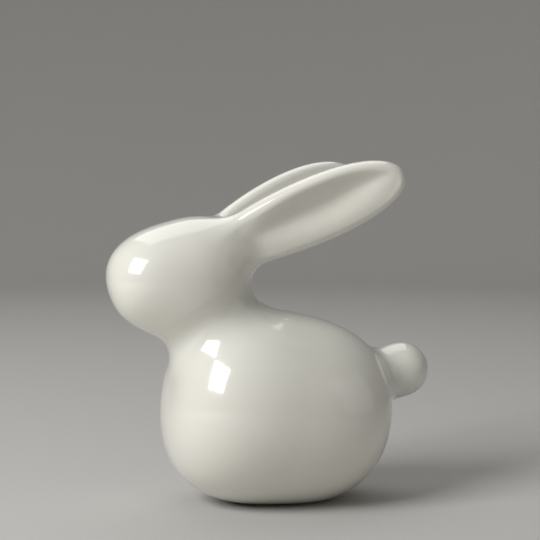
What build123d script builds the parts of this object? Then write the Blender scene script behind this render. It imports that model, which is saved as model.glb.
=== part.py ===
from build123d import *
import os
from math import atan2, copysign, cos, degrees, radians, sin, sqrt, tan

os.makedirs("parts", exist_ok=True)

# A slip-cast porcelain rabbit, built as its maker builds it: a hollow body and
# a hollow head, each cast in a mould of its own, two solid ears and a solid
# ball of a tail, luted together with clay slip and then glazed all over.
# Millimetres and degrees. +Z is up from the table, the nose points along -X,
# the tail along +X, and the rabbit's left side is -Y.

# Body: an egg that lies on its side, a little fuller at the chest
body_length = 72.4
body_diameter = 62.4
body_dip = 8.5
body_taper_share = -0.06
body_fullness = 2.7
body_wall = 3.6

# Foot: the flat that the egg stands on, dished inside a narrow ring
foot_cut_depth = 1.3
foot_ring_width = 3.6
foot_dish_depth = 0.8
vent_diameter = 3.0

# Head: a smaller egg, nose low and crown high
head_length = 45.8
head_diameter = 32.6
head_rise = 18.8
head_taper_share = -0.08
head_fullness = 2.4
head_wall = 3.4

# Neck: the ring where body and head are joined, as wide as the head is and
# leaning forward, and the throat that widens from it up into the head
neck_width_share = 1.0
neck_lean = 29.3
neck_wall = 4.0
neck_stub_length = 16.0
neck_blend_radius = 5.0
throat_length_share = 0.873
throat_width_share = 0.92

# Ears: long ovals laid back, spread apart and turned to show their scoops
ear_length = 75.0
ear_width = 21.8
ear_thickness = 7.0
ear_rise = 22.8
ear_spread = 15.5
ear_turn = 18.5
ear_taper_share = 0.22
ear_fullness = 2.0
ear_edge_share = 0.457
ear_root_depth_share = 0.49
ear_root_width_share = 0.47
ear_root_thickness_share = 0.276
ear_root_blend_share = 0.092
scoop_length = 58.0
scoop_diameter = 19.0
scoop_depth = 3.2

# Tail: a ball pressed into a shallow seat in the rump
tail_diameter = 18.0
tail_stand_height = 7.0
tail_seat_depth = 1.2
tail_blend_radius = 2.0
tail_bead_slope = 30.0

# Clay slip that joins the castings, and the room it needs round the tail
slip_thickness = 0.4
slip_clearance = 0.2
slip_overrun = 2.0

# Each egg's two tips are flat over this width, square to the axis it turns on
egg_tip_width = 0.6

# Sizes that follow the head's
neck_diameter = neck_width_share * head_diameter
throat_length = throat_length_share * head_length
throat_width = throat_width_share * head_diameter
ear_root_depth = ear_root_depth_share * head_diameter
ear_root_width = ear_root_width_share * head_diameter
ear_root_thickness = ear_root_thickness_share * head_diameter
ear_root_blend_radius = ear_root_blend_share * head_diameter

# The roundness of the ears' edges follows their thickness
ear_edge_radius = ear_edge_share * ear_thickness

# Where the pieces sit, as shares of the half-sizes of what carries them
neck_forward_share = 0.605
neck_height_share = 0.907
head_forward_share = 0.419
head_height_share = 0.99
ear_back_share = 1.044
ear_apart_share = 0.617
ear_height_share = 0.727
ear_seam_share = 0.267
scoop_back_share = 0.04
tail_station_share = 0.872

# Angles round an egg's outline that its curve is drawn through
egg_angles = (165, 150, 120, 90, 60, 30, 15)
ear_angles = (80, 55, 30)


def egg_height(along_share, diameter, taper_share, fullness):
    """Half-height of an egg's outline at a share of its half-length."""
    roundness = (1 - abs(along_share) ** fullness) ** (1 / fullness)
    return diameter / 2 * (1 + taper_share * along_share) * roundness


def egg_point(angle, length, diameter, taper_share, fullness):
    """A point on an egg's outline: 0 is its rear end and 180 its front end."""
    across = cos(radians(angle))
    along_share = copysign(abs(across) ** (2 / fullness), across)
    return along_share * length / 2, egg_height(along_share, diameter, taper_share, fullness)


def egg_reach(bearing, *egg_size):
    """How far an egg reaches from its middle, at a bearing from its rear end."""
    reaches = []
    for angle in range(181):
        along, height = egg_point(angle, *egg_size)
        reaches.append(along * cos(radians(bearing)) + height * sin(radians(bearing)))
    return max(reaches)


def egg_outline(length, *egg_shape):
    """The curve over an egg's back, from its front tip to its rear tip."""
    outline = [(-length / 2, egg_tip_width / 2)]
    for angle in egg_angles:
        outline.append(egg_point(angle, length, *egg_shape))
    outline.append((length / 2, egg_tip_width / 2))
    return Spline(outline)


def egg(place, length, *egg_shape):
    """An egg turned about the x axis of a plane, its front end at -x."""
    with BuildPart() as turned:
        with BuildSketch(place):
            with BuildLine():
                skin = egg_outline(length, *egg_shape)
                Polyline(skin @ 1, (length / 2, 0), (-length / 2, 0), skin @ 0)
            make_face()
        revolve(axis=Axis(place.origin, place.x_dir))
    return turned.part


body_egg = (body_length, body_diameter, body_taper_share, body_fullness)
body_hollow_egg = (
    body_length - 2 * body_wall,
    body_diameter - 2 * body_wall,
    body_taper_share,
    body_fullness,
)
head_egg = (head_length, head_diameter, head_taper_share, head_fullness)
head_hollow_egg = (
    head_length - 2 * head_wall,
    head_diameter - 2 * head_wall,
    head_taper_share,
    head_fullness,
)
ear_egg = (ear_length, ear_width, ear_taper_share, ear_fullness)

# The tail's seat on the body's outline, and the way that the rump faces there
back = egg_outline(*body_egg)
tail_seat = back @ tail_station_share
down_the_rump = back % tail_station_share
tail_rise = degrees(atan2(down_the_rump.X, -down_the_rump.Y)) - body_dip

# Distances along X from the middle of the body
neck_from_body = -neck_forward_share * body_length / 2
head_from_body = neck_from_body - head_forward_share * head_length / 2
nose_from_body = head_from_body - egg_reach(180 - head_rise, *head_egg)
tail_seat_from_body = tail_seat.X * cos(radians(body_dip)) + tail_seat.Y * sin(radians(body_dip))
tail_from_body = tail_seat_from_body + tail_stand_height * cos(radians(tail_rise))
rump_from_body = tail_from_body + tail_diameter / 2

# Places: X is counted from halfway between the nose and the back of the tail
body_x = -(nose_from_body + rump_from_body) / 2
body_z = egg_reach(90 - body_dip, *body_egg) - foot_cut_depth
neck_x = body_x + neck_from_body
neck_z = body_z + neck_height_share * body_diameter / 2
head_x = body_x + head_from_body
head_z = neck_z + head_height_share * head_diameter / 2
ear_x = head_x + ear_back_share * head_length / 2
ear_y = -ear_apart_share * head_diameter / 2
ear_z = head_z + ear_height_share * head_diameter / 2
tail_seat_x = body_x + tail_seat_from_body
tail_seat_z = body_z - tail_seat.X * sin(radians(body_dip)) + tail_seat.Y * cos(radians(body_dip))

body_plane = Plane((body_x, 0, body_z)).rotated((0, body_dip, 0))
head_plane = Plane((head_x, 0, head_z)).rotated((0, -head_rise, 0))
neck_plane = Plane((neck_x, 0, neck_z)).rotated((0, -neck_lean, 0))
head_neck_plane = neck_plane.offset(slip_thickness)
head_middle_plane = Plane((head_x, 0, head_z)).rotated((0, -neck_lean, 0))
tail_outward = Vector(1, 0, 0).rotate(Axis.Y, -tail_rise)
tail_plane = Plane((tail_seat_x, 0, tail_seat_z), x_dir=(0, 1, 0), z_dir=tail_outward)
tail_middle_plane = tail_plane.offset(tail_stand_height)
tail_pocket_plane = tail_plane.offset(-tail_seat_depth)
tail_cut_plane = tail_pocket_plane.offset(slip_thickness)
tail_axis = Axis(tail_plane.origin, tail_plane.z_dir)

# The left ear lies in its own plane: x runs up the ear, z out of its scoop
ear_along = Vector(1, 0, 0).rotate(Axis.Y, -ear_rise).rotate(Axis.Z, -ear_spread)
ear_facing = Vector(0, -1, 0).rotate(Axis.X, ear_turn).rotate(Axis.Y, -ear_rise).rotate(Axis.Z, -ear_spread)
ear_plane = Plane((ear_x, ear_y, ear_z), x_dir=ear_along, z_dir=ear_facing)
ear_seam_plane = Plane((ear_x, ear_y, ear_z), x_dir=ear_facing, z_dir=ear_along)
ear_middle = ear_seam_share * ear_length / 2
ear_seam_width = 2 * egg_height(-ear_seam_share, *ear_egg[1:])

# The ball's flat on its seat, and the pocket that takes the ball
tail_radius = tail_diameter / 2
tail_pocket_radius = sqrt(tail_radius**2 - tail_stand_height**2) + slip_clearance

# Body: the egg and the neck's collar, faired together, cut flat for the foot
with BuildPart() as body_hollow:
    add(egg(body_plane, *body_hollow_egg))
    split(bisect_by=Plane.XY.offset(body_wall), keep=Keep.TOP)

with BuildPart() as body:
    add(egg(body_plane, *body_egg))
    with BuildSketch(neck_plane) as neck_rim:
        Circle(neck_diameter / 2)
    extrude(amount=-neck_stub_length)
    extrude(neck_rim.sketch, amount=neck_stub_length, mode=Mode.SUBTRACT)
    collar = body.faces().filter_by(GeomType.CYLINDER)
    fillet(collar.edges().filter_by(GeomType.BSPLINE), radius=neck_blend_radius)
    split(bisect_by=Plane.XY, keep=Keep.TOP)
    foot = body.faces().filter_by(GeomType.PLANE).sort_by(Axis.Z)[0]
    foot_size = foot.bounding_box().size
    foot_plane = Plane((foot.center().X, 0, 0))
    add(body_hollow.part, mode=Mode.SUBTRACT)
    with BuildSketch(neck_plane):
        Circle(neck_diameter / 2 - neck_wall)
    extrude(amount=-neck_stub_length, mode=Mode.SUBTRACT)
    with BuildSketch(foot_plane):
        Ellipse(foot_size.X / 2 - foot_ring_width, foot_size.Y / 2 - foot_ring_width)
    extrude(amount=foot_dish_depth, mode=Mode.SUBTRACT)
    with Locations(foot_plane.offset(body_wall)):
        Hole(vent_diameter / 2, depth=body_wall)
    with BuildSketch(tail_pocket_plane):
        Circle(tail_pocket_radius)
    extrude(amount=tail_stand_height, mode=Mode.SUBTRACT)
body.part.label = "body"
export_step(body.part, "parts/body.step")


def throat(inset):
    """The flaring throat, or the bore inside it, that many millimetres in."""
    with BuildPart() as form:
        with BuildSketch(head_neck_plane):
            Circle(neck_diameter / 2 - inset)
        with BuildSketch(head_middle_plane):
            Ellipse(throat_length / 2 - inset, throat_width / 2 - inset)
        loft()
    return form.part


# Ear root: the oval stub that runs from inside the head to the ear's seam
with BuildPart() as ear_root:
    with BuildSketch(ear_seam_plane):
        RectangleRounded(ear_thickness, ear_seam_width, ear_edge_radius)
    with BuildSketch(ear_seam_plane.offset(-ear_root_depth)):
        RectangleRounded(ear_root_thickness, ear_root_width, ear_edge_share * ear_root_thickness)
    loft()

# Head: the egg, its throat and the two ear roots, hollow down to the neck
with BuildPart() as head:
    add(egg(head_plane, *head_egg))
    add(throat(0))
    add(ear_root.part)
    fillet(head.edges(Select.NEW), radius=ear_root_blend_radius)
    mirror(ear_root.part, about=Plane.XZ)
    fillet(head.edges(Select.NEW), radius=ear_root_blend_radius)
    add(egg(head_plane, *head_hollow_egg), mode=Mode.SUBTRACT)
    add(throat(neck_wall), mode=Mode.SUBTRACT)
head.part.label = "head"
export_step(head.part, "parts/head.step")

# Ears: a rounded oval blade with an egg-shaped scoop in its outer face
with BuildPart() as left_ear:
    with BuildSketch(ear_plane.offset(-ear_thickness / 2)):
        ear_upper_edge = [(slip_thickness, ear_seam_width / 2)]
        for angle in ear_angles:
            along, height = egg_point(angle, *ear_egg)
            ear_upper_edge.append((ear_middle + along, height))
        ear_tip = (ear_middle + ear_length / 2, 0)
        ear_lower_edge = [(along, -height) for along, height in reversed(ear_upper_edge)]
        with BuildLine():
            ear_rim = Spline(ear_upper_edge + [ear_tip] + ear_lower_edge)
            Line(ear_rim @ 1, ear_rim @ 0)
        make_face()
    extrude(amount=ear_thickness)
    fillet(left_ear.edges().filter_by(GeomType.BSPLINE), radius=ear_edge_radius)
    scoop_middle = (
        ear_middle + scoop_back_share * ear_length,
        0,
        ear_thickness / 2 - scoop_depth + scoop_diameter / 2,
    )
    scoop_origin = ear_plane.from_local_coords(scoop_middle)
    scoop_plane = Plane(scoop_origin, x_dir=ear_plane.x_dir, z_dir=ear_plane.z_dir)
    add(egg(scoop_plane, scoop_length, scoop_diameter, ear_taper_share, ear_fullness), mode=Mode.SUBTRACT)
left_ear.part.label = "left_ear"
export_step(left_ear.part, "parts/left_ear.step")

with BuildPart() as right_ear:
    mirror(left_ear.part, about=Plane.XZ)
right_ear.part.label = "right_ear"
export_step(right_ear.part, "parts/right_ear.step")

# Tail: the ball, with the flat that it is luted on
with BuildPart() as tail:
    with Locations(tail_middle_plane):
        Sphere(tail_radius)
    split(bisect_by=tail_cut_plane, keep=Keep.TOP)
tail.part.label = "tail"
export_step(tail.part, "parts/tail.step")

# Neck slip: the ring of clay between the rims of body and head
with BuildPart() as neck_slip:
    with BuildSketch(neck_plane):
        Circle(neck_diameter / 2)
        Circle(neck_diameter / 2 - neck_wall, mode=Mode.SUBTRACT)
    extrude(amount=slip_thickness)
neck_slip.part.label = "neck_slip"
export_step(neck_slip.part, "parts/neck_slip.step")

# Ear slips: the oval film of clay between each ear and its root
with BuildPart() as left_ear_slip:
    with BuildSketch(ear_seam_plane):
        RectangleRounded(ear_thickness, ear_seam_width, ear_edge_radius)
    extrude(amount=slip_thickness)
left_ear_slip.part.label = "left_ear_slip"
export_step(left_ear_slip.part, "parts/left_ear_slip.step")

with BuildPart() as right_ear_slip:
    mirror(left_ear_slip.part, about=Plane.XZ)
right_ear_slip.part.label = "right_ear_slip"
export_step(right_ear_slip.part, "parts/right_ear_slip.step")

# Tail slip: the clay under the ball, wiped into a hollow bead that rolls round
# between ball and rump. The bead's middle is tail_blend_radius off both, and
# its edge runs into the rump at tail_bead_slope degrees.
rump_radius = body_diameter / 2
ball_reach = tail_radius + tail_blend_radius
rump_reach = rump_radius + tail_blend_radius
rump_to_ball = rump_radius + tail_stand_height
bead_rise = (rump_reach**2 - ball_reach**2 + rump_to_ball**2) / (2 * rump_to_ball)
bead_out = sqrt(rump_reach**2 - bead_rise**2)
bead_up = bead_rise - rump_radius
ball_touch_share = tail_radius / ball_reach
ball_touch_up = tail_stand_height + (bead_up - tail_stand_height) * ball_touch_share
ball_touch = (bead_out * ball_touch_share, ball_touch_up)
edge_bearing = atan2(-bead_rise, -bead_out) - radians(tail_bead_slope)
edge_up = bead_up + tail_blend_radius * sin(edge_bearing)
bead_edge = (bead_out + tail_blend_radius * cos(edge_bearing), edge_up)
edge_run = (slip_overrun + edge_up) * tan(edge_bearing)
bead_foot = (bead_edge[0] + edge_run, -slip_overrun)
tail_section_plane = Plane(tail_plane.origin, x_dir=tail_plane.x_dir, z_dir=-tail_plane.y_dir)

with BuildPart() as tail_slip:
    with BuildSketch(tail_section_plane):
        with BuildLine():
            bead = RadiusArc(bead_edge, ball_touch, tail_blend_radius)
            Polyline(bead @ 1, (0, tail_stand_height), (0, -slip_overrun), bead_foot, bead @ 0)
        make_face()
    revolve(axis=tail_axis)
    add(egg(body_plane, *body_egg), mode=Mode.SUBTRACT)
    with BuildSketch(tail_pocket_plane):
        Circle(tail_pocket_radius)
    extrude(amount=tail_seat_depth + slip_clearance)
    add(tail.part, mode=Mode.SUBTRACT)
tail_slip.part.label = "tail_slip"
export_step(tail_slip.part, "parts/tail_slip.step")
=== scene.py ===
# %% [markdown]
# # A porcelain rabbit, from its CAD frame to a glazed figurine
# The real object is slip-cast porcelain: a hollow body and a hollow head, two
# pressed ears and a ball tail, joined with clay slip, sponged smooth while the
# clay is damp, and fired under a clear glaze. No joint shows afterwards, so
# the whole skin flows from piece to piece. This script makes that skin once,
# as one smooth surface, and then cuts it back into the maker's pieces.

# %% Load the fixed frame
from math import cos, pi, radians, sin

import bmesh
import bpy
import numpy as np
from mathutils import Matrix, Vector


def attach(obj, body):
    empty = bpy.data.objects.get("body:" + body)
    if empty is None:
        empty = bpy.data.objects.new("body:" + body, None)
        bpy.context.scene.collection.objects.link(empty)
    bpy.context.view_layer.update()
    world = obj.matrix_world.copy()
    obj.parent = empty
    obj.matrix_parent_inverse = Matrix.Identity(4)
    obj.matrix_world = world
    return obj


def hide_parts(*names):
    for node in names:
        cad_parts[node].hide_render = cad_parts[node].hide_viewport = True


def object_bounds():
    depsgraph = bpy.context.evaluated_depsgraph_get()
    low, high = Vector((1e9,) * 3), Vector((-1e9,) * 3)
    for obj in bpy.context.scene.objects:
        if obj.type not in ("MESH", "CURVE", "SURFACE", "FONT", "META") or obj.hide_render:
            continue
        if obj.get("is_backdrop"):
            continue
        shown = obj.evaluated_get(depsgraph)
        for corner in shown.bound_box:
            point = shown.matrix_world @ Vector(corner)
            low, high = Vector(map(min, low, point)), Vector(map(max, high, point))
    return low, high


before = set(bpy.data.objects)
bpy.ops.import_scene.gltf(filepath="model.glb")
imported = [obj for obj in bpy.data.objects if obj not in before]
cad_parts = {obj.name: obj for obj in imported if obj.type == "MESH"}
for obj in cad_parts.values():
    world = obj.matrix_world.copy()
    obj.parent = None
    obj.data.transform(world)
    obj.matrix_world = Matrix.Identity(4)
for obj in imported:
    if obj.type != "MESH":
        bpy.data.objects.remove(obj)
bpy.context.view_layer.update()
print("CAD nodes:", sorted(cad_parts))

# %% [markdown]
# ## The camera
# The photograph was taken from a little in front of the rabbit's left side and
# slightly above it. The camera is placed by two angles and a distance, and
# turned so that the rabbit lies in the frame as it does there. A long lens at
# half a metre keeps the small figure free of wide-angle stretch.

# %% Place the camera
millimetre = 0.001
camera_azimuth = radians(-18.0)
camera_elevation = radians(6.66)
camera_distance = 463.5 * millimetre
camera_target = Vector((1.43, 0.0, 50.7)) * millimetre
camera_lens = 96.35
camera_sensor = 36.0
camera_near = 10 * millimetre
aim_right = -0.00472
aim_up = 0.0502

camera_back = Vector((
    sin(camera_azimuth) * cos(camera_elevation),
    -cos(camera_azimuth) * cos(camera_elevation),
    sin(camera_elevation),
))
camera_right = Vector((cos(camera_azimuth), sin(camera_azimuth), 0.0))
camera_up = camera_back.cross(camera_right)
camera_view = -camera_back + aim_right * camera_right + aim_up * camera_up

camera_data = bpy.data.cameras.new("camera")
camera_data.lens = camera_lens
camera_data.sensor_width = camera_sensor
camera_data.clip_start = camera_near
camera = bpy.data.objects.new("camera", camera_data)
camera.location = camera_target + camera_distance * camera_back
camera.rotation_euler = camera_view.to_track_quat("-Z", "Y").to_euler()
bpy.context.collection.objects.link(camera)
bpy.context.scene.camera = camera
print("Camera at", [round(value, 3) for value in camera.location])

# %% [markdown]
# ## Describing clay with distances
# Clay that is luted and sponged has no edges: one form runs into the next
# through a soft hollow. Bevels on joined meshes fail where forms meet at a
# grazing angle. A distance field doesn't: each form is a function that gives a
# point's distance from its surface, negative inside, and two fields are joined
# with a minimum whose corner is rounded. The radius of that rounding is the
# width of the sponged fillet. Lengths in these functions are in millimetres.

# %% Join and carve fields
def join(first, second, blend):
    """The union of two fields, with a soft hollow of that width between them."""
    overlap = np.maximum(blend - np.abs(first - second), 0.0) / blend
    return np.minimum(first, second) - overlap**2 * blend / 4


def carve(solid, tool, blend):
    """The first field with the second cut out of it, its rim rounded."""
    return -join(-solid, tool, blend)


print("Two fields 1 mm away, joined:", join(np.ones(1), np.ones(1), 6.0))

# %% [markdown]
# ## Eggs and cones
# Every part of an animal figure is close to an egg: an ellipsoid that is
# thicker towards one end. Its field is a plain size divided by how fast that
# size grows there, which turns it into millimetres. Its taper is followed only
# so many half-lengths beyond the tips, and the three smallest numbers keep the
# divisions safe at the egg's very middle. A cone with rounded ends serves for
# necks and holes.

# %% Write the fields of an egg and a cone
egg_reach = 1.3
least_round = 1e-9
least_size = 1e-12
least_slope = 1e-6


def egg_field(points, middle, axes, half_sizes, taper, fullness):
    """Distance from an egg: axes are its length, height and width directions."""
    along, up, out = ((points - middle) @ np.array(axes).T).T
    half_length, half_height, half_width = half_sizes
    share = np.clip(along / half_length, -egg_reach, egg_reach)
    swell = 1 + taper * share
    round_part = np.sqrt((up / half_height) ** 2 + (out / half_width) ** 2)
    round_part += least_round
    ring = round_part / swell
    size = np.abs(share) ** fullness + ring**fullness + least_size
    size = size ** (1 / fullness)
    steep = size ** (1 - fullness)
    pull = ring ** (fullness - 1) * steep
    slope_along = np.abs(share) ** (fullness - 1) * np.sign(share)
    slope_along = slope_along * steep / half_length
    slope_along -= pull * round_part / swell**2 * taper / half_length
    slope_up = pull * up / (half_height**2 * round_part * swell)
    slope_out = pull * out / (half_width**2 * round_part * swell)
    slope = np.sqrt(slope_along**2 + slope_up**2 + slope_out**2)
    return (size - 1) / np.maximum(slope, least_slope)


def cone_field(points, start, end, start_radius, end_radius):
    """Distance from a cone with rounded ends."""
    line = end - start
    share = np.clip((points - start) @ line / (line @ line), 0, 1)
    offset = points - start - share[:, None] * line
    widening = (end_radius - start_radius) * share
    return np.linalg.norm(offset, axis=1) - start_radius - widening


def turned(vector, *turns):
    """A direction after turns in degrees about named axes, in order."""
    direction = Vector(vector)
    for degrees, axis in turns:
        direction = Matrix.Rotation(radians(degrees), 3, axis) @ direction
    return np.array(direction)


print("X turned a quarter about Z:", turned((1, 0, 0), (90, "Z")).round(3))

# %% [markdown]
# ## Body, head and neck
# The body is an egg lying on its side and the head a smaller egg with its nose
# low. Both are fuller than an ellipse, as a plaster mould leaves them: the
# exponent called fullness squares the outline slightly. A short cone under the
# head keeps the throat from pinching where the two eggs blend.

# %% Measure out body, head and neck
body_middle = np.array((1.33, 0.0, 29.85))
body_half_sizes = (36.2, 31.15, 31.5)
body_dip = 8.5
body_taper = -0.063
body_fullness = 2.69
head_middle = np.array((-30.45, 0.0, 74.6))
head_half_sizes = (23.15, 15.8, 17.2)
head_rise = 18.8
head_taper = -0.079
head_fullness = 2.415
neck_low = np.array((-13.37, 0.0, 48.2))
neck_high = np.array((-26.07, 0.0, 66.4))
neck_low_radius = 13.9
neck_high_radius = 16.2
neck_blend = 7.35
across = np.array((0.0, 1.0, 0.0))


def lying_axes(rise):
    """Length, height and width directions of an egg with a raised rear end."""
    return turned((1, 0, 0), (-rise, "Y")), turned((0, 0, 1), (-rise, "Y")), across


body_axes = lying_axes(-body_dip)
head_axes = lying_axes(head_rise)


def body_field(points):
    """Distance from the body's egg."""
    return egg_field(
        points, body_middle, body_axes, body_half_sizes, body_taper, body_fullness
    )


def head_field(points):
    """Distance from the head's egg."""
    return egg_field(
        points, head_middle, head_axes, head_half_sizes, head_taper, head_fullness
    )


def neck_field(points):
    """Distance from the throat's cone."""
    return cone_field(
        points, neck_low, neck_high, neck_low_radius, neck_high_radius
    )


origin_depth = -body_field(np.zeros((1, 3)))
print("The origin lies in the body's egg by, mm:", origin_depth.round(2))

# %% [markdown]
# ## The ears' slabs
# An ear is pressed from a slab of clay: egg-shaped in outline, widest towards
# its tip, rounded all along its edge and thinner towards its lower edge. The
# slab is an outline and a thickness, rounded together. Only the left ear is
# described. The right one asks the same function at the mirrored point.

# %% Measure out the ears
ear_middle = np.array((2.67, -12.5, 90.35))
ear_half_length = 37.5
ear_half_width = 10.7
ear_half_thickness = 3.5
ear_edge_round = 3.2
ear_rise = 22.8
ear_spread = 17.5
ear_turn = 18.5
ear_taper = 0.218
ear_fullness = 2.0
ear_lobe_start = 3.0
ear_lobe_round = 0.022
ear_blend = 5.9
between_ears_blend = 3.0

ear_turns = ((-ear_rise, "Y"), (-ear_spread, "Z"))
ear_along = turned((1, 0, 0), *ear_turns)
ear_out = turned((0, -1, 0), (ear_turn, "X"), *ear_turns)
ear_up = np.cross(ear_out, ear_along)
ear_axes = (ear_along, ear_up, ear_out)
slab_half_sizes = (ear_half_length, ear_half_width, ear_half_width)


def slab_field(points):
    """Distance from the left ear's slab before its scoop is pressed."""
    out = (points - ear_middle) @ ear_out
    lobe = np.maximum((ear_middle - points) @ ear_up - ear_lobe_start, 0)
    thinned = np.minimum(ear_lobe_round * lobe**2, ear_edge_round / 2)
    flat_points = points - out[:, None] * ear_out
    outline = ear_edge_round + egg_field(
        flat_points, ear_middle, ear_axes, slab_half_sizes, ear_taper, ear_fullness
    )
    thickness = np.abs(out) - ear_half_thickness + ear_edge_round + thinned
    outside = np.hypot(np.maximum(outline, 0), np.maximum(thickness, 0))
    inside = np.minimum(np.maximum(outline, thickness), 0)
    return outside + inside - ear_edge_round


print("Ear runs along", ear_along.round(3), "and faces", ear_out.round(3))

# %% [markdown]
# ## The ears' scoops
# The scoop in an ear's outer face is pulled with a thumb. It falls from the
# upper edge to a fold along the middle, and the lower lobe swells out of the
# fold again. It is a height over the slab's face and not a separate form, so
# that the fold can fade at both ends. The fold's softness is what keeps a line
# of single bright quads from showing along it.

# %% Pull the scoop
scoop_middle = 10.5
scoop_half_length = 24.5
scoop_depth = 4.0
scoop_upper_width = 8.8
scoop_lower_width = 9.6
scoop_wall_power = 1.4
scoop_rim = 1.6
least_leaf = 0.02
fold_up = 0.4
fold_softness = 1.4
fold_bend_start = 12.0
fold_bend = 0.11
mirrored = np.array((1.0, -1.0, 1.0))


def scoop_field(points):
    """Negative where the thumb presses clay away from the left ear's face."""
    along = (points - ear_middle) @ ear_along
    up = (points - ear_middle) @ ear_up
    out = (points - ear_middle) @ ear_out
    station = (along - scoop_middle) / scoop_half_length
    leaf = 1 - station**2
    fold = fold_up + fold_bend * np.maximum(along - fold_bend_start, 0)
    beyond = np.hypot(up - fold, fold_softness)
    above = (beyond + up - fold) / (2 * scoop_upper_width)
    below = (beyond - up + fold) / (2 * scoop_lower_width)
    inner = np.maximum(leaf, least_leaf)
    share = 1 - below / np.sqrt(inner)
    wall = above**scoop_wall_power
    lobe = inner * (1 - share * np.abs(share))
    pressed = scoop_depth * (leaf - wall - lobe)
    return ear_half_thickness - pressed - out


def ear_field(points):
    """Distance from the left ear with its scoop."""
    return carve(slab_field(points), scoop_field(points), scoop_rim)


def right_ear_field(points):
    """Distance from the right ear, the left one's mirror image."""
    return ear_field(points * mirrored)


left_ear_face = ear_middle + ear_half_thickness * ear_out + scoop_middle * ear_along
print("Scoop at its middle, mm:", scoop_field(left_ear_face[None, :]).round(2))

# %% [markdown]
# ## The tail
# The tail is a ball of clay pressed onto the rump. The wet slip round it is
# wiped out with a finger, so its fillet is the widest on the figure.

# %% Measure out the tail
tail_middle = np.array((44.35, 0.0, 40.45))
tail_radius = 9.0
tail_blend = 9.5


def tail_field(points):
    """Distance from the tail's ball."""
    return np.linalg.norm(points - tail_middle, axis=1) - tail_radius


tail_gap = body_field(tail_middle[None, :])
print("From the tail's middle to the rump, mm:", tail_gap.round(1))

# %% [markdown]
# ## The foot
# The belly is cut twice from below: a soft cut just under the table rounds its
# edge, and a crisp one on the table makes it flat. The flat is dished, so that
# the figure stands on a ring and doesn't rock. The hole in the dish lets air
# out of the hollow body in the kiln. The skin has no inside, so here the hole
# is a short pit.

# %% Dish the foot
foot_edge = 2.6
foot_lift = 1.0
foot_rim = 0.2
foot_middle = np.array((4.85, 0.0, 0.0))
dish_half_sizes = (8.4, 4.6)
dish_depth = 0.8
dish_edge = 0.6
vent_radius = 1.6
vent_depth = 2.2
vent_edge = 0.6
vent_top = foot_middle + (0.0, 0.0, vent_depth)


def dish_field(points):
    """The shallow oval dish inside the foot ring."""
    flat = (points[:, :2] - foot_middle[:2]) / dish_half_sizes
    reach = np.linalg.norm(flat, axis=1)
    side = (reach - 1) * min(dish_half_sizes)
    return -join(-side, dish_depth - points[:, 2], dish_edge)


def vent_field(points):
    """The vent's short pit."""
    return cone_field(points, foot_middle, vent_top, vent_radius, vent_radius)


print("Dish field at the foot's middle:", dish_field(foot_middle[None, :]).round(2))

# %% [markdown]
# ## One skin for the whole figure
# The fields are joined in the order in which the maker luted the pieces: neck,
# head, ears, tail. The foot is carved before the ears and the tail go on,
# because their fillets don't reach it.

# %% Join the forms into one field
def rabbit_field(points):
    """Distance in millimetres from the finished skin."""
    trunk = join(body_field(points), neck_field(points), neck_blend)
    trunk = join(trunk, head_field(points), neck_blend)
    trunk = carve(trunk, points[:, 2] + foot_lift, foot_edge)
    trunk = carve(trunk, points[:, 2], foot_rim)
    trunk = carve(trunk, dish_field(points), dish_edge)
    trunk = carve(trunk, vent_field(points), vent_edge)
    ears = join(ear_field(points), right_ear_field(points), between_ears_blend)
    figure = join(trunk, ears, ear_blend)
    return join(figure, tail_field(points), tail_blend)


print("Field in the belly:", rabbit_field(np.array([[0.0, 0.0, 30.0]])).round(1))

# %% [markdown]
# ## Landing points on the surface
# A point's distance from the surface, and the field's slope there, say how far
# and which way the point has to move. The slope is measured with two samples a
# hair apart along each axis. A few such moves land any nearby point, which is
# simpler than casting rays and also works inside hollows.

# %% Land points on a field
slope_step = 0.02
least_steepness = 0.05
landings = 3


def field_slope(points, field=rabbit_field):
    """The direction in which the distance grows fastest, by small steps."""
    slopes = []
    for step in slope_step * np.eye(3):
        slopes.append(field(points + step) - field(points - step))
    return np.array(slopes).T / (2 * slope_step)


def land(points, field=rabbit_field, steps=landings):
    """Moves points onto a field's surface along its slope."""
    for _ in range(steps):
        slope = field_slope(points, field)
        steepness = np.maximum((slope**2).sum(axis=1), least_steepness)
        points = points - (field(points) / steepness)[:, None] * slope
    return points


belly_side = land(np.array([[0.0, -35.0, 30.0]]))
print("A point beside the belly lands at, mm:", belly_side.round(2))

# %% [markdown]
# ## Rough lumps of clay
# A distance field needs a mesh to show it. Each form starts as a plain round
# lump that is pressed onto the form's own field, as a potter shapes the pieces
# before joining them. The right ear's thin direction is turned round once more
# after mirroring, or the lump would be inside out.

# %% Press the lumps
lump_rings = 48
lump_segments = 64
lump_landings = 6


def add_lump(mesh_data, field, middle, axes, half_sizes):
    """A ball stretched along three directions and pressed onto a field."""
    made = bmesh.ops.create_uvsphere(
        mesh_data, u_segments=lump_segments, v_segments=lump_rings, radius=1.0
    )
    ball = np.array([corner.co for corner in made["verts"]])
    points = land(middle + ball * half_sizes @ np.array(axes), field, lump_landings)
    for corner, point in zip(made["verts"], points):
        corner.co = Vector(point) * millimetre


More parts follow.
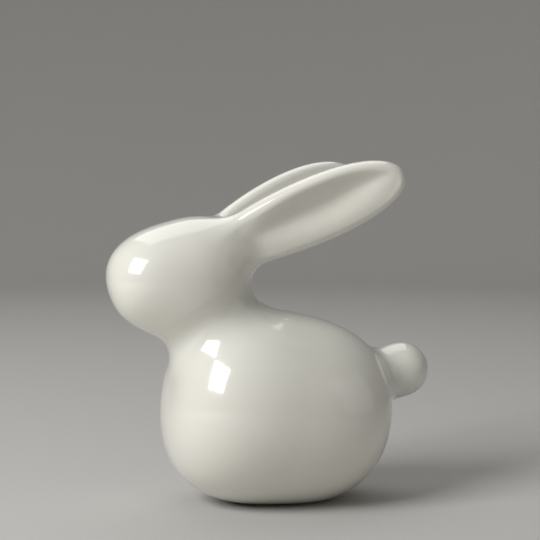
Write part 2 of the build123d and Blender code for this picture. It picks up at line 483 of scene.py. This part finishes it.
right_ear_axes = np.array(ear_axes) * mirrored * ((1,), (1,), (-1,))
ear_half_sizes = (ear_half_length, ear_half_width, ear_half_thickness)
upright = np.eye(3)
forms = (
    (body_field, body_middle, body_axes, body_half_sizes),
    (head_field, head_middle, head_axes, head_half_sizes),
    (neck_field, (neck_low + neck_high) / 2, upright, (neck_high_radius,) * 3),
    (ear_field, ear_middle, ear_axes, ear_half_sizes),
    (right_ear_field, ear_middle * mirrored, right_ear_axes, ear_half_sizes),
    (tail_field, tail_middle, upright, (tail_radius,) * 3),
)
lumps = bmesh.new()
for form in forms:
    add_lump(lumps, *form)
lump_mesh = bpy.data.meshes.new("lumps")
lumps.to_mesh(lump_mesh)
lumps.free()
print("Lump corners:", len(lump_mesh.vertices))

# %% [markdown]
# ## Fusing the lumps
# The voxel Remesh modifier fuses overlapping lumps into one closed skin of
# even quads, much as the potter squeezes soft pieces together. It only knows
# the lumps, so the skin has sharp creases where they cross, and every corner
# still has to be slid onto the true surface.

# %% Fuse with a voxel remesh
def fused(mesh, quad):
    """One closed skin of even quads round everything that a mesh encloses."""
    rough = bpy.data.objects.new("rough_skin", mesh)
    bpy.context.collection.objects.link(rough)
    remesh = rough.modifiers.new("fuse", "REMESH")
    remesh.mode = "VOXEL"
    remesh.voxel_size = quad * millimetre
    shown = bpy.context.evaluated_depsgraph_get()
    skin = bpy.data.meshes.new_from_object(rough.evaluated_get(shown))
    bpy.data.objects.remove(rough)
    return skin


def read_points(mesh):
    """A mesh's corners in millimetres."""
    flat = np.empty(3 * len(mesh.vertices))
    mesh.vertices.foreach_get("co", flat)
    return flat.reshape(-1, 3) / millimetre


print("Lumps reach up to, mm:", read_points(lump_mesh).max(axis=0).round(1))

# %% [markdown]
# ## Sliding the skin onto the true surface
# All corners are landed on the surface, and in between each is drawn halfway
# to the middle of its neighbours, which evens out the quads. Glaze is a
# mirror, so uneven quads would show as ripples. It is done twice: large quads
# pull the creases between the lumps open into smooth hollows, where small ones
# would fold over, and the second, fine skin then starts from a shape that is
# already right.

# %% Slide every corner onto the surface
relax_rounds = 6
skin_quads = (1.4, 0.6)


def relaxed(points, edges):
    """Each point halfway to the middle of its neighbours."""
    number = len(points)
    total = np.zeros_like(points)
    count = np.zeros(number)
    for here, there in (edges.T, edges.T[::-1]):
        for axis in range(3):
            pull = points[there, axis]
            total[:, axis] += np.bincount(here, weights=pull, minlength=number)
        count += np.bincount(here, minlength=number)
    return (points + total / count[:, None]) / 2


def settle(mesh):
    """Slides a mesh's corners onto the skin and evens out its quads."""
    edges = np.empty(2 * len(mesh.edges), dtype=np.int32)
    mesh.edges.foreach_get("vertices", edges)
    points = land(read_points(mesh))
    for _ in range(relax_rounds):
        points = land(relaxed(points, edges.reshape(-1, 2)))
    mesh.vertices.foreach_set("co", (points * millimetre).ravel())
    mesh.update()
    furthest = np.abs(rabbit_field(points)).max()
    print("Corners:", len(points), "furthest off, mm:", furthest.round(4))


skin = lump_mesh
for quad in skin_quads:
    skin = fused(skin, quad)
    settle(skin)

# %% [markdown]
# ## Finding the joints
# The CAD frame says where the castings meet: a thin film of slip lies in each
# joint, and its flat solid gives the joint's place and direction. For each
# joint two numbers are given, in millimetres. The first is how far from
# the joint's middle the skin may be cut, because a plane through the neck
# would also graze the ears. The second moves the cut outward: the tail's lies
# where its hollow fillet is narrowest, so that the piece is a clean ring.

# %% Find the joints in the frame
slip_thickness = 0.4
slip_cuts = {
    "neck_slip": (24.0, 0.0),
    "left_ear_slip": (13.0, 0.0),
    "right_ear_slip": (13.0, 0.0),
    "tail_slip": (13.0, 1.4),
}


def node_points(node):
    """A CAD node's corners in millimetres."""
    return read_points(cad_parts[node].data)


def box_middle(points):
    """The middle of the box round some points."""
    return (points.min(axis=0) + points.max(axis=0)) / 2


def joint_plane(node):
    """The middle of a flat solid and its thin direction, away from the body."""
    corners = node_points(node)
    middle = box_middle(corners)
    thin = np.linalg.svd(corners - corners.mean(axis=0), full_matrices=False)[2][2]
    outward = middle - body_middle
    return middle, thin * np.sign(thin @ outward)


joints = {node: joint_plane(node) for node in slip_cuts}
for node, (middle, direction) in joints.items():
    print(node, "lies at", middle.round(1), "and faces", direction.round(2))

# %% [markdown]
# ## Cutting the skin at the joints
# The skin is cut on both faces of every film of slip. Cutting one finished
# skin, and not fitting separate ones, leaves pieces whose edges agree to the
# last corner, so that no joint shows through the glaze. Each cut is marked as
# a seam, which the next step follows.

# %% Cut the skin at every joint
cut_tolerance = 1e-7

skin_cutter = bmesh.new()
skin_cutter.from_mesh(skin)
bpy.data.meshes.remove(skin)


def cut_at(mesh_data, middle, direction, reach):
    """Cuts the faces within reach of a place, and marks the cut as a seam."""
    centre = Vector(middle) * millimetre
    near = []
    for face in mesh_data.faces:
        if (face.calc_center_median() - centre).length < reach * millimetre:
            near.append(face)
    edges = {edge for face in near for edge in face.edges}
    corners = {corner for face in near for corner in face.verts}
    cut = bmesh.ops.bisect_plane(
        mesh_data,
        geom=near + list(edges) + list(corners),
        plane_co=centre,
        plane_no=Vector(direction),
        dist=cut_tolerance,
    )
    for item in cut["geom_cut"]:
        if isinstance(item, bmesh.types.BMEdge):
            item.seam = True


for node, (middle, direction) in joints.items():
    reach, shift = slip_cuts[node]
    for side in (-slip_thickness / 2, slip_thickness / 2):
        cut_at(skin_cutter, middle + (shift + side) * direction, direction, reach)
print("Seam edges:", sum(edge.seam for edge in skin_cutter.edges))

# %% [markdown]
# ## Sorting the cut faces
# From any face, all faces that can be reached without crossing a seam belong
# to one piece. The list of a piece's faces grows while the loop walks along
# it. Which piece it is follows from the CAD node whose middle lies nearest.

# %% Sort the cut faces into pieces
def connected_faces(start, seen):
    """All faces that can be reached from one without crossing a seam."""
    group = [start]
    seen.add(start)
    for face in group:
        for edge in face.edges:
            if edge.seam:
                continue
            for neighbour in edge.link_faces:
                if neighbour not in seen:
                    seen.add(neighbour)
                    group.append(neighbour)
    return group


def closest_node(faces):
    """The CAD node whose middle is nearest to the middle of some faces."""
    corners = np.array([corner.co for face in faces for corner in face.verts])
    middle = box_middle(corners / millimetre)
    gaps = {}
    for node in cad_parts:
        gaps[node] = np.linalg.norm(box_middle(node_points(node)) - middle)
    return min(gaps, key=gaps.get)


sorted_faces = set()
piece_faces = {}
for face in skin_cutter.faces:
    if face not in sorted_faces:
        group = connected_faces(face, sorted_faces)
        piece_faces.setdefault(closest_node(group), []).extend(group)
for node, faces in piece_faces.items():
    print(node, "has", len(faces), "faces")

# %% [markdown]
# ## Closing the pieces
# Each group of faces becomes a mesh of its own, and its open ends are closed
# flat, as the castings' own rims are. The faces that close it come last in the
# mesh, which the shading relies on.

# %% Turn faces into closed meshes
def closed_mesh(name, faces):
    """A mesh of some faces of the cut skin, with its open ends filled."""
    corners = list(dict.fromkeys(corner for face in faces for corner in face.verts))
    places = {corner: index for index, corner in enumerate(corners)}
    mesh = bpy.data.meshes.new(name)
    mesh.from_pydata(
        [corner.co for corner in corners],
        [],
        [[places[corner] for corner in face.verts] for face in faces],
    )
    closing = bmesh.new()
    closing.from_mesh(mesh)
    rims = [edge for edge in closing.edges if edge.is_boundary]
    bmesh.ops.holes_fill(closing, edges=rims, sides=0)
    closing.to_mesh(mesh)
    closing.free()
    return mesh


print("Pieces to close:", len(piece_faces))

# %% [markdown]
# ## Shading the pieces
# A glossy surface shows the direction of every face, so the corners take their
# normals from the field's slope instead of from the faces round them. Two
# numbers per corner go along for the glaze: how hollow the surface is there,
# where glaze pools and painted shade darkens it, and how sharp, where it runs
# thin. Both compare the field a little way off the surface with what it would
# be over flat ground.

# %% Shade a mesh from the field
glaze_probe = 1.6


def corner_numbers(mesh, name, values):
    """Stores one number per corner of a mesh for its material to read."""
    layer = mesh.attributes.new(name, "FLOAT", "POINT")
    layer.data.foreach_set("value", values.astype(np.float32))


def shade(mesh, first_cap):
    """Takes normals, glaze numbers and painted shade numbers from the field; caps stay
    flat.
    """
    points = read_points(mesh)
    slope = field_slope(points)
    slope /= np.linalg.norm(slope, axis=1)[:, None]
    over = rabbit_field(points + glaze_probe * slope)
    under = rabbit_field(points - glaze_probe * slope)
    corner_numbers(mesh, "hollow", 1 - over / glaze_probe)
    corner_numbers(mesh, "sharp", 1 + under / glaze_probe)
    normals = []
    for polygon in mesh.polygons:
        polygon.use_smooth = True
        is_cap = polygon.index >= first_cap
        for corner in polygon.vertices:
            normals.append(polygon.normal if is_cap else slope[corner])
    mesh.normals_split_custom_set(normals)


print("Glaze is judged", glaze_probe, "mm off the surface")

# %% [markdown]
# ## The nine pieces
# Each piece is named after the CAD node that it stands for, replaces it in the
# picture and rides on the one body that the figurine has.

# %% Build one object per piece
pieces = {}
for node, faces in piece_faces.items():
    mesh = closed_mesh(node + "_skin", faces)
    shade(mesh, len(faces))
    pieces[node] = bpy.data.objects.new(node + "_skin", mesh)
    bpy.context.collection.objects.link(pieces[node])
    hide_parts(node)
    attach(pieces[node], "root")
skin_cutter.free()
print("Pieces:", sorted(pieces))

# %% [markdown]
# ## Writing a finish as sums
# A material is a graph of nodes, which is hard to read as a list of links. A
# small class wraps a socket so that Python's own signs add the Math nodes. The
# forms that start with an r let a plain number stand first, as in 1 - mask.

# %% Wrap a socket
class Value:
    """A socket that the signs + - and * work on."""

    def __init__(self, finish, socket):
        self.finish = finish
        self.socket = socket

    def worked(self, operation, first, second):
        """A Math node on two values or numbers."""
        settings = {"operation": operation}
        return self.finish.node("ShaderNodeMath", settings, {0: first, 1: second})

    def __add__(self, other):
        return self.worked("ADD", self, other)

    def __radd__(self, other):
        return self.worked("ADD", other, self)

    def __sub__(self, other):
        return self.worked("SUBTRACT", self, other)

    def __rsub__(self, other):
        return self.worked("SUBTRACT", other, self)

    def __mul__(self, other):
        return self.worked("MULTIPLY", self, other)

    def __rmul__(self, other):
        return self.worked("MULTIPLY", other, self)


print("Reflected signs:", [name for name in vars(Value) if name[:3] == "__r"])

# %% [markdown]
# ## Making every other node
# One method makes all other nodes: it adds one of a kind, changes its settings
# and then fills or links its sockets. The four short ones below it are the
# nodes that a glaze needs often. Colours go through a Mix node, because a Math
# node would turn them grey.

# %% Wrap a material
# A Mix node has sockets for every kind of data. These are the places of its
# factor, its two colours and the colour that comes out.
mix_factor = 0
mix_first = 6
mix_second = 7
mix_result = 2


class Finish:
    """A material whose nodes are added one at a time."""

    def __init__(self, name):
        self.material = bpy.data.materials.new(name)
        self.material.use_nodes = True
        self.tree = self.material.node_tree
        self.tree.nodes.clear()

    def node(self, kind, settings=None, inputs=None, output=0):
        """Adds a node, sets it up, then fills or links its sockets."""
        made = self.tree.nodes.new(kind)
        for name, value in (settings or {}).items():
            setattr(made, name, value)
        for name, value in (inputs or {}).items():
            if isinstance(value, Value):
                self.tree.links.new(value.socket, made.inputs[name])
            else:
                made.inputs[name].default_value = value
        return Value(self, made.outputs[output]) if made.outputs else None

    def corner_number(self, name):
        """A number that the mesh keeps at each corner."""
        settings = {"attribute_name": name}
        return self.node("ShaderNodeAttribute", settings, output="Fac")

    def step(self, value, low, high):
        """0 below one number, 1 above the other, and smooth between them."""
        settings = {"interpolation_type": "SMOOTHSTEP"}
        inputs = {"Value": value, "From Min": low, "From Max": high}
        return self.node("ShaderNodeMapRange", settings, inputs)

    def mixed(self, share, first, second):
        """One colour turning into another with the share."""
        settings = {"data_type": "RGBA"}
        inputs = {mix_factor: share, mix_first: first, mix_second: second}
        return self.node("ShaderNodeMix", settings, inputs, mix_result)

    def cloud(self, place, per_metre, detail):
        """Soft noise between 0 and 1 with so many swells to the metre."""
        settings = {"noise_dimensions": "3D"}
        inputs = {"Vector": place, "Scale": per_metre, "Detail": detail}
        return self.node("ShaderNodeTexNoise", settings, inputs)


print("A finish knows:", [name for name in vars(Finish) if name[0] != "_"])

# %% [markdown]
# ## The glaze's measures
# The rabbit is porcelain under one clear glaze. The clay is a warm white, and
# hardly two places are the same white, because the glaze varies a little in
# thickness and painted shade darkens the hollows. Pairs of numbers say where a
# change begins and where it is complete, and the shares how strong it gets.

# %% Name the colours and the measures
clay_white = (0.80, 0.79, 0.715, 1.0)
clay_warm = (0.80, 0.77, 0.665, 1.0)
# The white for hollows is cooler, as thick glaze is, and darker as painted shade.
shaded_pool_white = (0.72, 0.725, 0.675, 1.0)
bare_clay = (0.74, 0.69, 0.61, 1.0)
wiped_height = (0.12 * millimetre, 0.3 * millimetre)
pool_and_shade_range = (0.02, 0.35)
rim_range = (0.12, 0.55)
cloud_range = (0.35, 0.7)
pool_and_shade_share = 0.8
rim_share = 0.55
rim_steady = 0.6
rim_clouded = 0.4
cloud_share = 0.22
glaze_roughness = 0.14
clouded_roughness = 0.06
bare_roughness = 0.4
relief_strength = 0.25
relief_height = 0.12 * millimetre
grain_share = 0.05
print("Bare clay ends", wiped_height[1] / millimetre, "mm above the table")

# %% [markdown]
# ## The glaze
# Glaze runs while it is molten: it pools in hollows, where it looks cooler,
# and draws away from rims, where the warm clay shows. The hollows are also
# painted a touch darker, as painted shade. The foot ring is wiped clean before
# firing, or the figure would stick to the kiln shelf, so it is dull bare clay.
# The glaze itself is the shader's coat, a hard mirror over the soft white, so
# the highlights are crisp while the shading stays soft. A faint relief keeps
# them from looking computed.

# %% Mix the glaze
glaze = Finish("porcelain_glaze")
place = glaze.node("ShaderNodeTexCoord", output="Object")
height = glaze.node("ShaderNodeSeparateXYZ", inputs={"Vector": place}, output="Z")
hollow = glaze.corner_number("hollow")
sharp = glaze.corner_number("sharp")
clouds = glaze.cloud(place, per_metre=28.0, detail=3.0)
ripples = glaze.cloud(place, per_metre=95.0, detail=1.0)
grain = glaze.cloud(place, per_metre=900.0, detail=2.0)

bare = 1 - glaze.step(height, *wiped_height)
# Painted shade: this mask darkens the hollows, along with the cool tint of pooled glaze.
pooled_and_shaded = glaze.step(hollow, *pool_and_shade_range)
rims = glaze.step(sharp, *rim_range) * (rim_steady + rim_clouded * clouds)
warmed = glaze.step(clouds, *cloud_range) * cloud_share
colour = glaze.mixed(warmed, clay_white, clay_warm)
colour = glaze.mixed(rims * rim_share, colour, clay_warm)
# Hollows take the darker, cooler white: painted shade over a tint of pooled glaze.
colour = glaze.mixed(pooled_and_shaded * pool_and_shade_share, colour, shaded_pool_white)
colour = glaze.mixed(bare, colour, bare_clay)
roughness = glaze_roughness + clouded_roughness * clouds
roughness = roughness + bare_roughness * bare
relief = glaze.node(
    "ShaderNodeBump",
    inputs={
        "Strength": relief_strength,
        "Distance": relief_height,
        "Height": ripples + grain_share * grain,
    },
)
glazed_surface = glaze.node(
    "ShaderNodeBsdfPrincipled",
    inputs={
        "Base Color": colour,
        "Roughness": roughness,
        "IOR": 1.5,
        "Coat Weight": 1 - bare,
        "Coat Roughness": 0.03,
        "Coat IOR": 1.52,
        "Normal": relief,
    },
)
glaze.node("ShaderNodeOutputMaterial", inputs={"Surface": glazed_surface})
for piece in pieces.values():
    piece.data.materials.append(glaze.material)
print("Glaze nodes:", len(glaze.tree.nodes))

# %% [markdown]
# ## The floor
# A pale sweep, flat under the rabbit and curving up all round, gives a plain
# ground from every side without a horizon. Its outline is drawn once, from the
# middle outwards, and spun round.

# %% Make the sweep
sweep_rings = (0.0, 0.3, 0.6)
sweep_radius = 0.9
sweep_bend = 0.5
sweep_height = 1.2
sweep_segments = 96
bend_steps = 16
merge_distance = 1e-6

profile = [(radius, 0.0) for radius in sweep_rings]
for step in range(bend_steps + 1):
    angle = pi / 2 * step / bend_steps
    radius = sweep_radius + sweep_bend * sin(angle)
    profile.append((radius, sweep_bend * (1 - cos(angle))))
profile.append((sweep_radius + sweep_bend, sweep_height))
sweep_data = bmesh.new()
corners = [sweep_data.verts.new((radius, 0.0, level)) for radius, level in profile]
edges = [sweep_data.edges.new(pair) for pair in zip(corners, corners[1:])]
bmesh.ops.spin(
    sweep_data,
    geom=corners + edges,
    axis=(0.0, 0.0, 1.0),
    cent=(0.0, 0.0, 0.0),
    angle=2 * pi,
    steps=sweep_segments,
    use_merge=True,
)
bmesh.ops.remove_doubles(sweep_data, verts=sweep_data.verts, dist=merge_distance)
bmesh.ops.recalc_face_normals(sweep_data, faces=sweep_data.faces)
sweep_mesh = bpy.data.meshes.new("sweep")
sweep_data.to_mesh(sweep_mesh)
sweep_data.free()
sweep_mesh.polygons.foreach_set("use_smooth", [True] * len(sweep_mesh.polygons))
sweep = bpy.data.objects.new("sweep", sweep_mesh)
bpy.context.collection.objects.link(sweep)
sweep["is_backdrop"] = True
print("Sweep faces:", len(sweep_mesh.polygons))

# %% [markdown]
# ## The floor's paper
# Matt grey-white paper, darker than the figure, so that the white porcelain
# stands out from it as it does in the photograph.

# %% Cover the sweep with paper
sweep_colour = (0.54, 0.53, 0.51, 1.0)

paper = Finish("sweep_paper")
paper_surface = paper.node(
    "ShaderNodeBsdfPrincipled",
    inputs={
        "Base Color": sweep_colour,
        "Roughness": 0.9,
        "Specular IOR Level": 0.1,
    },
)
paper.node("ShaderNodeOutputMaterial", inputs={"Surface": paper_surface})
sweep_mesh.materials.append(paper.material)
print("Paper nodes:", len(paper.tree.nodes))

# %% [markdown]
# ## The light
# A white object under a mirror of glaze is lit by what it reflects, so the
# lamps are large soft squares: one like a window in front on the left, a weak
# one on the right to open the shadows and one high behind for the back. Each
# has a place and a width in metres and a power in watts. The world adds an
# even, faint light from all round.

# %% Hang the lamps
lamp_aim = Vector((0.0, 0.0, 55.0)) * millimetre
lamps = {
    "window": ((-0.765, -0.30, 0.58), 0.50, 8.5),
    "right_fill": ((0.80, -0.45, 0.30), 0.60, 0.3),
    "overhead": ((0.05, 0.42, 0.90), 0.80, 2.2),
}
world_level = 0.18


def hang_lamp(name, place, size, power):
    """A square soft lamp that faces the figure."""
    lamp_data = bpy.data.lights.new(name, "AREA")
    lamp_data.shape = "SQUARE"
    lamp_data.size = size
    lamp_data.energy = power
    lamp = bpy.data.objects.new(name, lamp_data)
    lamp.location = place
    facing = lamp_aim - lamp.location
    lamp.rotation_euler = facing.to_track_quat("-Z", "Y").to_euler()
    bpy.context.collection.objects.link(lamp)


for name, (place, size, power) in lamps.items():
    hang_lamp(name, place, size, power)
    print("Lamp", name, "at", place)

world = bpy.data.worlds.new("studio")
world.use_nodes = True
sky = world.node_tree.nodes["Background"].inputs
sky["Color"].default_value = (1.0, 1.0, 1.0, 1.0)
sky["Strength"].default_value = world_level
bpy.context.scene.world = world
bpy.context.scene.view_settings.view_transform = "Standard"

# %% [markdown]
# ## Measuring up
# The dressed figure is meant to keep the CAD frame's size. The box round it,
# without the floor, is measured and printed in metres.

# %% Measure the dressed figure
shown_low, shown_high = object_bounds()
shown_box = [round(value, 4) for value in (*shown_low, *shown_high)]
print("Visual box in metres:", shown_box)
